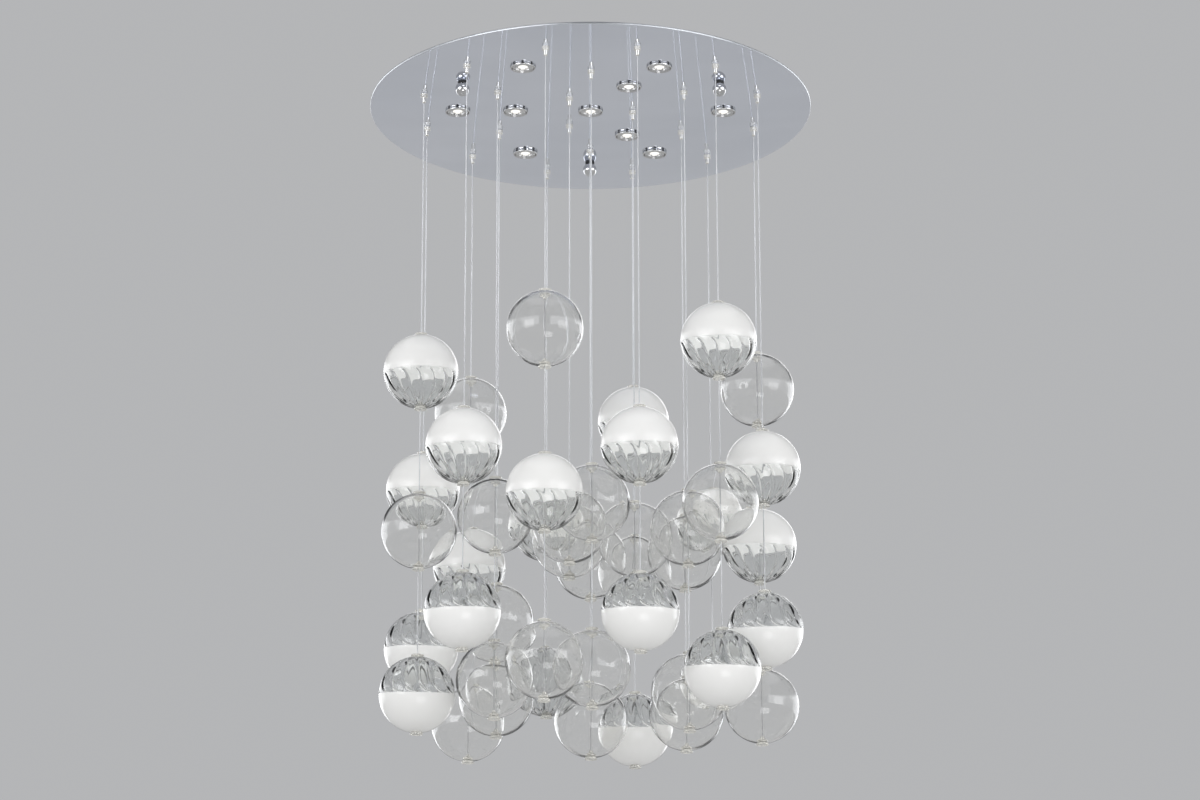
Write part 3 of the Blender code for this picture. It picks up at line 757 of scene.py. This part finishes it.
def two_part_globe(kind, draw):
    """Globe of two halves: a white and a ribbed one, or two ribbed ones.

    Going down the outside, a groove leans toward growing turns above its edge and back toward falling turns
    below it. The inside follows the ribs at a share of their depth.
    """
    first_turn = draw.uniform(0.0, FULL_TURN)
    wobble_phase = draw.uniform(0.0, FULL_TURN)
    column = rib_columns()
    hook = HOOKS[kind]
    sense = -1.0 if kind == "white_top" else 1.0
    mean_edge, dip = EDGES[kind]
    turn_at_edge = column + first_turn + sense * rib_lean(0.0, hook)
    edge = mean_edge + draw.uniform(-EDGE_SPREAD, EDGE_SPREAD) - dip * np.cos(turn_at_edge)
    edge += 0.5 * EDGE_SPREAD * np.sin(2.0 * turn_at_edge + wobble_phase)
    upper_ribbed = kind != "white_top"
    lower_ribbed = kind != "ribbed_top"

    def side(ribbed, end, rows, inside):
        """One side's points from the edge to a pole."""
        base = GLOBE_RADIUS - (GLASS_WALL if inside else 0.0)
        if ribbed:
            latitude, turn, groove = ribbed_side(edge, column, end, rows, first_turn, hook, sense)
            share = 1.0 + INSIDE_RIB_SHARE * groove if inside else groove
        else:
            latitude, turn, away = plain_side(edge, column, end, rows, first_turn, hook, sense)
            share = 1.0 - smooth_step(away / INSIDE_STEP_REACH) if inside else 0.0
        return globe_points(base - RIB_DEPTH * share, latitude, turn)

    outer_end = rim_latitude(GLOBE_RADIUS)
    white_end = rim_latitude(GLOBE_RADIUS - GLASS_WALL)
    ribbed_end = rim_latitude(GLOBE_RADIUS - GLASS_WALL - RIB_DEPTH)
    upper_end = ribbed_end if upper_ribbed else white_end
    lower_end = ribbed_end if lower_ribbed else white_end
    halves = (upper_ribbed, lower_ribbed)
    outer_counts = [RIBBED_ROWS if ribbed else WHITE_ROWS for ribbed in halves]
    inner_counts = [INSIDE_RIBBED_ROWS if ribbed else INSIDE_WHITE_ROWS for ribbed in halves]
    outer_upper = side(upper_ribbed, outer_end, outer_counts[0], False)[::-1]
    outer_lower = side(lower_ribbed, -outer_end, outer_counts[1], False)[1:]
    inner_lower = side(lower_ribbed, -lower_end, inner_counts[1], True)[::-1]
    inner_upper = side(upper_ribbed, upper_end, inner_counts[0], True)[1:]
    rows = np.concatenate((outer_upper, outer_lower, inner_lower, inner_upper))
    heights = rows[:, :, 2].mean(axis=1) / (2.0 * GLOBE_RADIUS) + 0.5
    surface = skin(rows, heights, closed=True)
    upper_slot = 0 if upper_ribbed else 1
    lower_slot = 0 if lower_ribbed else 1
    # Faces inside the white glass take the third finish, which glows with painted light.
    bands = (
        (outer_counts[0] - 1, upper_slot),
        (outer_counts[1], lower_slot),
        (inner_counts[1] - 1, 2 * lower_slot),
        (inner_counts[0], 2 * upper_slot),
    )
    row_slots = np.concatenate([np.full(count, slot) for count, slot in bands])
    surface["slots"] = np.repeat(row_slots, len(column))
    return surface


def moved(surface, place):
    """Surface moved to its place."""
    surface["points"] = surface["points"] + np.asarray(place, float)
    return surface


def bushing(place, upside):
    """Clear bushing: a dished flange that flares up from the glass, and a plug with a cone inside the globe.

    It is turned from one profile. Flat facets run round the plug and the cone, where the radius follows a
    polygon, and the lower bushing is the upper one upside down.
    """
    profile = rounded(np.add(BUSHING_PROFILE, (0.0, FLANGE_SEAT)), radius=0.0003, steps=3)
    if not upside:
        profile = (profile * (1.0, -1.0))[::-1]
    facet = FULL_TURN / BUSHING_FACETS
    faceted_height = FLANGE_SEAT - 0.0001

    def facets(radius, height, turn):
        """Share by which the radius falls short of its circle on a flat facet."""
        away = (turn + 0.5 * facet) % facet - 0.5 * facet
        flat = math.cos(0.5 * facet) / np.cos(away) - 1.0
        return flat * (np.abs(height) < faceted_height)

    return turned(profile, 4 * BUSHING_FACETS, place, facets)


def strung_pieces(body, joint, nodes, finishes, draw):
    """One string: its globes, its bushings and its cable."""
    axis_x, axis_y, pivot = joint["pos_m"]
    bushings = []
    lowest = 0.0
    for node in nodes:
        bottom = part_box(node)[0].z
        centre = (axis_x, axis_y, bottom + BUSHING_END)
        kind = next(kind for kind in GLASS_SLOTS if kind in node)
        if kind == "clear":
            surface = clear_globe(draw)
            glass = [finishes["clear"]]
        else:
            surface = two_part_globe(kind, draw)
            # The third finish, inside the white glass, glows with painted light.
            glass = [finishes["ribbed"], finishes["opal"], finishes["opal_inside_painted_glow"]]
        piece(f"{node}_glass", [moved(surface, centre)], glass, body, [node])
        bushings += [bushing(centre, True), bushing(centre, False)]
        lowest = min(lowest, bottom)
    piece(f"{body}_bushings", bushings, [finishes["bushing"]], body)
    top = pivot - SEAT_GAP
    profile = [(0.0, top), (CABLE, top), (CABLE, lowest), (0.0, lowest)]
    cable = turned(profile, around=12, place=(axis_x, axis_y, 0.0))
    piece(f"{body}_cable", [cable], [finishes["cable"]], body)


def plate_piece(radius, finishes):
    """Canopy plate: mirror below, satin back, and a duller edge."""
    top = [(0.0, PLATE_TOP), (PLATE_MIDDLE, PLATE_TOP), (radius, PLATE_TOP)]
    underside = [(radius, PLATE_UNDERSIDE), (0.0, PLATE_UNDERSIDE)]
    sheet = turned(rounded(top + underside, radius=0.0008, steps=5), PLATE_COLUMNS)
    heights = sheet["points"][sheet["quads"], 2].mean(axis=1)
    reach = np.hypot(sheet["points"][:, 0], sheet["points"][:, 1])[sheet["quads"]].min(axis=1)
    on_back = heights > PLATE_TOP - 0.00001
    on_edge = reach > radius - PLATE_EDGE
    sheet["slots"] = np.where(on_back, 2, on_edge.astype(int))
    plate_finishes = [finishes["mirror"], finishes["edge"], finishes["back"]]
    piece("canopy_plate_sheet", [sheet], plate_finishes, "root", ["canopy_plate"])


def grip_pieces(axes, finishes):
    """Cable grips under the plate and their threaded studs above it."""
    rise = GRIP_STUD_RISE
    stud = [(0.0, rise), (GRIP_STUD, rise), (GRIP_STUD, 0.0), (0.0, 0.0)]
    grips, studs = [], []
    for x, y in axes:
        grips.append(lathed(GRIP_PROFILE, PLATE_UNDERSIDE, (x, y, 0.0), around=36, softness=0.0003))
        studs.append(lathed(stud, PLATE_TOP, (x, y, 0.0), around=24, softness=0.0005))
    piece("cable_grips", grips, [finishes["nickel"]], "root")
    piece("grip_studs", studs, [finishes["zinc"]], "root")


def painted_vent_shade(radius, low, high, place):
    """Black round domes on the outside of a drum's wall: painted shade that stands for the dark vent
    openings.

    Each is a shallow dome: rings that shrink to its middle, laid out by turn and height on the wall, which
    they leave by the square-law rise of the dome.
    """
    around = 20
    rings = 5
    share = np.linspace(1.0 / rings, 1.0, rings)[:, None]
    angle = turns(around)[None, :]
    half_turn = 0.5 * VENT_WIDTH / radius
    height = 0.5 * (low + high) + 0.5 * (high - low) * share * np.cos(angle)
    reach = radius + VENT_RISE * (1.0 - share ** 2)
    tip_reach = radius + VENT_RISE
    vent_shade_domes = []
    for middle in turns(VENTS):
        turn = middle + half_turn * share * np.sin(angle)
        rows = np.stack((reach * np.sin(turn), -reach * np.cos(turn), height), axis=-1) + place
        tip = (tip_reach * math.sin(middle), -tip_reach * math.cos(middle), 0.5 * (low + high))
        vent_shade_domes.append(capped(skin(rows), around, top=np.add(place, tip)))
    return vent_shade_domes


def spotlight_pieces(number, place, finishes):
    """Spotlight: chrome drum ringed by black domes of painted vent shade, dish, lamp with two pins, and
    finned housing above.
    """
    node = f"spotlight_{number:02d}"
    seat = PLATE_UNDERSIDE - SEAT_GAP
    drum = lathed(DRUM_PROFILE, PLATE_UNDERSIDE, place, around=96, softness=0.0005, steps=4)
    piece(f"{node}_rim", [drum], [finishes["rim"]], "root", [node])
    # Painted shade: black domes stand where the drum's vent openings would be dark.
    vent_shade_domes = painted_vent_shade(DRUM, seat - VENT_BOTTOM, seat - VENT_TOP, place)
    piece(f"{node}_vents", vent_shade_domes, [finishes["black"]], "root")
    dish = lathed(DISH_PROFILE, PLATE_UNDERSIDE, place, around=72, softness=0.0003)
    piece(f"{node}_dish", [dish], [finishes["silver"]], "root")
    lamp = lathed(LAMP_PROFILE, PLATE_UNDERSIDE, place, around=48, softness=0.0012, steps=5)
    piece(f"{node}_lamp", [lamp], [finishes["glow"]], "root")
    pins = []
    for side in (-PIN_SIDE, PIN_SIDE):
        pin_place = np.add(place, (side, PIN_BACK, 0.0))
        pins.append(lathed(PIN_PROFILE, PLATE_UNDERSIDE, pin_place, around=16, softness=0.0002))
    piece(f"{node}_pins", pins, [finishes["black"]], "root")

    def fins(radius, height, turn):
        """Cooling fins between the housing's top and its collar."""
        fin = smooth_step((np.cos(FIN_COUNT * turn) + FIN_BLEND) / (2.0 * FIN_BLEND))
        above_foot = height > PLATE_TOP + FIN_FOOT
        below_top = height < PLATE_TOP + HOUSING_RISE - FIN_END
        return -FIN_DEPTH * fin * (above_foot & below_top)

    housing = turned(np.add(HOUSING_PROFILE, (0.0, PLATE_TOP)), around=192, place=place, wave=fins)
    piece(f"{node}_housing", [housing], [finishes["heat_sink"]], "root")


def post_pieces(places, finishes):
    """Posts of the bracket: ball nut and washer below the plate, spacer above it."""
    seat = PLATE_UNDERSIDE - SEAT_GAP
    waist_end = seat - NUT_WAIST_HEIGHT
    start = math.asin(NUT_WAIST / NUT_BALL)
    centre = waist_end - NUT_BALL * math.cos(start)
    arc = np.linspace(start, math.pi, num=28)
    ball = np.stack((NUT_BALL * np.sin(arc), centre + NUT_BALL * np.cos(arc)), axis=-1)
    ball[-1, 0] = 0.0
    nut = np.vstack(((0.0, waist_end), ball))
    washer = [(0.0, seat), (NUT_WAIST, seat), (NUT_WAIST, waist_end), (0.0, waist_end)]
    top = -BRACKET_THICKNESS
    rest = PLATE_TOP + SEAT_GAP
    spacer = [(0.0, top), (SPACER, top), (SPACER, rest), (0.0, rest)]
    spots = [(x, y, 0.0) for x, y in places]
    nuts = [turned(nut, around=64, place=spot) for spot in spots]
    washers = [lathed(washer, 0.0, spot, around=48, softness=0.0006) for spot in spots]
    spacers = [lathed(spacer, 0.0, spot, around=32, softness=0.0006) for spot in spots]
    piece("ball_nuts", nuts, [finishes["ball"]], "root")
    piece("nut_washers", washers, [finishes["black"]], "root")
    piece("post_spacers", spacers, [finishes["zinc"]], "root")


def bracket_piece(posts, finishes):
    """Flat bracket in one surface: its edge follows the hub's circle or, where that is further out, an arm.

    An arm's outline is the nearer of its end and its side, divided by the cosine and the sine of the turn
    from the arm's middle.
    """
    arm_turns = [math.atan2(x, -y) for x, y in posts]
    arm_end = math.hypot(*posts[0]) + ARM_OVERHANG
    corner_turn = math.atan2(ARM_HALF_WIDTH, arm_end)
    root_turn = math.asin(ARM_HALF_WIDTH / HUB)
    corners = np.array((-root_turn, -corner_turn, corner_turn, root_turn))
    marks = np.concatenate([arm + corners for arm in arm_turns])
    turn = np.unique(np.round(np.concatenate((turns(180), marks % FULL_TURN)), 9))
    nearest = np.min([np.abs((turn - arm + math.pi) % FULL_TURN - math.pi) for arm in arm_turns], axis=0)
    away = np.clip(nearest, 1e-6, math.pi / 3)
    arm = np.minimum(arm_end / np.cos(away), ARM_HALF_WIDTH / np.sin(away))
    edge = np.where(nearest <= root_turn + 1e-7, np.maximum(arm, HUB), HUB)
    bevel = 0.0005
    border = 0.012
    insets = np.array((border, bevel, 0.0, 0.0, bevel, border))
    foot = -BRACKET_THICKNESS
    heights = np.array((0.0, 0.0, -bevel, bevel + foot, foot, foot))
    reach = edge[None, :] - insets[:, None]
    height = np.repeat(heights[:, None], len(turn), axis=1)
    rows = np.stack((reach * np.sin(turn), -reach * np.cos(turn), height), axis=-1)
    surface = capped(skin(rows), len(turn), np.zeros(3), np.array((0.0, 0.0, foot)))
    stands_for = ["ceiling_bracket"]
    piece("bracket_plate", [surface], [finishes["galvanised"]], "root", stands_for)


def rounded_block(low, high, corner):
    """Block with rounded upright corners and softened edges.

    Its plan is a rectangle whose four corners are arcs, and its edges step in over an arc at top and bottom.
    """
    low = np.asarray(low, float)
    high = np.asarray(high, float)
    steps = 7
    quarter = np.linspace(0.0, math.pi / 2, steps)
    turn = np.concatenate([quarter + k * math.pi / 2 for k in range(4)])
    signs = np.repeat(np.array(((1.0, -1.0), (1.0, 1.0), (-1.0, 1.0), (-1.0, -1.0))), steps, axis=0)
    middle = 0.5 * (low + high)
    half = 0.5 * (high - low)
    across = np.stack((np.sin(turn), -np.cos(turn)), axis=-1)
    soft = 0.3 * corner
    edge = np.linspace(0.0, math.pi / 2, num=4)
    insets = np.concatenate((soft * (1 - np.sin(edge)), soft * (1 - np.cos(edge))))
    heights = np.concatenate((high[2] - soft * (1 - np.cos(edge)), low[2] + soft * (1 - np.sin(edge))))
    core = signs * (half[:2] - corner)
    plan = core[None] + across[None] * (corner - insets)[:, None, None] + middle[:2]
    level = np.broadcast_to(heights[:, None, None], (len(heights), len(turn), 1))
    rows = np.concatenate((plan, level), axis=-1)
    top = np.array((middle[0], middle[1], high[2]))
    bottom = np.array((middle[0], middle[1], low[2]))
    return capped(skin(rows), len(turn), top, bottom)


def electric_pieces(finishes):
    """Driver, terminal block and gland under the hub."""
    low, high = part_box("led_driver")
    case = rounded_block(low, high, corner=0.004)
    piece("driver_case", [case], [finishes["white"]], "root", ["led_driver"])
    low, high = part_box("terminal_block")
    third = (high.x - low.x) / 3.0
    gap = 0.0004
    poles = []
    for number in range(3):
        left = low.x + number * third + gap
        right = low.x + (number + 1) * third - gap
        poles.append(rounded_block((left, low.y, low.z), (right, high.y, high.z), corner=0.002))
    piece("terminal_poles", poles, [finishes["white"]], "root", ["terminal_block"])
    low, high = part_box("mains_gland")
    centre = 0.5 * (low + high)
    outer = 0.5 * (high.x - low.x)
    flange_top = low.z + 0.0060
    gland = [(GLAND_BORE, high.z), (GLAND_NECK, high.z), (GLAND_NECK, flange_top), (outer, flange_top),
             (outer, low.z + 0.0012), (0.8 * outer, low.z), (GLAND_BORE, low.z)]
    nut = lathed(gland, 0.0, (centre.x, centre.y, 0.0), around=48, softness=0.0005)
    piece("gland_nut", [nut], [finishes["black"]], "root", ["mains_gland"])


def add_camera():
    """Camera at the photograph's place and angle."""
    data = bpy.data.cameras.new("camera")
    data.lens = CAMERA_LENS
    data.sensor_width = SENSOR_WIDTH
    data.clip_end = CAMERA_REACH
    camera = bpy.data.objects.new("camera", data)
    bpy.context.scene.collection.objects.link(camera)
    yaw = Matrix.Rotation(CAMERA_YAW, 4, "Z")
    pitch = Matrix.Rotation(math.pi / 2 + CAMERA_PITCH, 4, "X")
    roll = Matrix.Rotation(CAMERA_ROLL, 4, "Z")
    camera.matrix_world = Matrix.Translation(CAMERA_PLACE) @ yaw @ pitch @ roll
    bpy.context.scene.camera = camera


def add_lamp(name, place, aim, size, power):
    """Large soft lamp, aimed at a point. Neither the camera nor a look through glass sees it."""
    data = bpy.data.lights.new(name, "AREA")
    data.shape = "RECTANGLE"
    data.size, data.size_y = size
    data.energy = power
    lamp = bpy.data.objects.new(name, data)
    bpy.context.scene.collection.objects.link(lamp)
    lamp.location = place
    lamp.rotation_euler = (Vector(aim) - Vector(place)).to_track_quat("-Z", "Y").to_euler()
    lamp.visible_camera = False
    lamp.visible_transmission = False


def add_floor():
    """Pale matt floor far below the light."""
    finish = Finish("pale_floor", (0.66, 0.66, 0.65), 0.85)
    noise = finish.noise(0.6, detail=3.0)
    finish.link(finish.shades(noise, dark=(0.645, 0.645, 0.64), light=(0.675, 0.675, 0.67)), "Base Color")
    mesh = bpy.data.meshes.new("floor")
    signs = ((-1, -1), (1, -1), (1, 1), (-1, 1))
    corners = [(FLOOR_HALF * x, FLOOR_HALF * y, FLOOR_LEVEL) for x, y in signs]
    mesh.from_pydata(corners, [], [(0, 1, 2, 3)])
    mesh.materials.append(finish.material)
    floor = bpy.data.objects.new("floor", mesh)
    bpy.context.scene.collection.objects.link(floor)


def add_studio():
    """Light of the room: a pale surround that the camera and glass see, panels to mirror, and even light."""
    world = bpy.data.worlds.new("studio")
    bpy.context.scene.world = world
    world.use_nodes = True
    tree = world.node_tree

    def made(kind, **inputs):
        """New node, with its inputs linked."""
        node = tree.nodes.new(kind)
        for name, source in inputs.items():
            tree.links.new(source, node.inputs[name])
        return node

    def joined(operation, *values):
        """Value worked out from one or two others."""
        node = made("ShaderNodeMath")
        node.operation = operation
        for number, value in enumerate(values):
            tree.links.new(value, node.inputs[number])
        return node.outputs["Value"]

    def ranged(value, start, end, low, high):
        """Smoothly carry the size of a direction's part from one range to another."""
        change = made("ShaderNodeMapRange", Value=joined("ABSOLUTE", value))
        change.interpolation_type = "SMOOTHSTEP"
        for key, number in (("From Min", start), ("From Max", end), ("To Min", low), ("To Max", high)):
            change.inputs[key].default_value = number
        return change.outputs["Result"]

    def choose(factor, first, second):
        """Colour between two by a factor, where each is a colour or a link."""
        mix = made("ShaderNodeMix")
        mix.data_type = "RGBA"
        for key, value in (("Factor", factor), (6, first), (7, second)):
            if isinstance(value, tuple):
                mix.inputs[key].default_value = value
            else:
                tree.links.new(value, mix.inputs[key])
        return mix.outputs[2]

    direction = made("ShaderNodeTexCoord").outputs["Generated"]
    parts = made("ShaderNodeSeparateXYZ", Vector=direction).outputs
    beside = joined("MULTIPLY", ranged(parts["Z"], *PANEL_HEIGHT), ranged(parts["X"], *PANEL_START))
    beside = joined("MULTIPLY", beside, ranged(parts["X"], *PANEL_END))
    lit = joined("MAXIMUM", beside, ranged(parts["Z"], *UPPER_PANEL))
    ray = made("ShaderNodeLightPath").outputs
    seen = joined("MAXIMUM", ray["Is Camera Ray"], ray["Is Transmission Ray"])
    colour = choose(ray["Is Glossy Ray"], AMBIENT, choose(lit, DARK_ROOM, LIT_PANEL))
    colour = choose(seen, colour, BACKDROP)
    tree.links.new(colour, tree.nodes["Background"].inputs["Color"])


def main():
    """Dress the frame and light it."""
    scene = bpy.context.scene
    scene.view_settings.view_transform = "Standard"
    scene.cycles.max_bounces = GLASS_BOUNCES
    scene.cycles.transmission_bounces = GLASS_BOUNCES
    add_camera()
    finishes = make_finishes()
    draw = np.random.default_rng(RANDOM_SEED)
    bodies = frame["record"]["behaviour"]["bodies"]
    axes = []
    for joint in frame["joints"]:
        axes.append(tuple(joint["pos_m"][:2]))
        strung_pieces(joint["child"], joint, bodies[joint["child"]], finishes, draw)
    outer_radius = max(math.hypot(x, y) for x, y in axes)
    plate_piece(outer_radius + PLATE_MARGIN, finishes)
    grip_pieces(axes, finishes)
    for number in range(1, SPOTLIGHTS + 1):
        low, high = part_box(f"spotlight_{number:02d}")
        place = (0.5 * (low.x + high.x), 0.5 * (low.y + high.y), 0.0)
        spotlight_pieces(number, place, finishes)
    stud_radius = outer_radius * STUD_SHARE
    posts = [(stud_radius * math.sin(turn), -stud_radius * math.cos(turn)) for turn in POST_TURNS]
    post_pieces(posts, finishes)
    bracket_piece(posts, finishes)
    electric_pieces(finishes)
    add_floor()
    add_studio()
    for lamp in LAMPS:
        add_lamp(*lamp)


main()
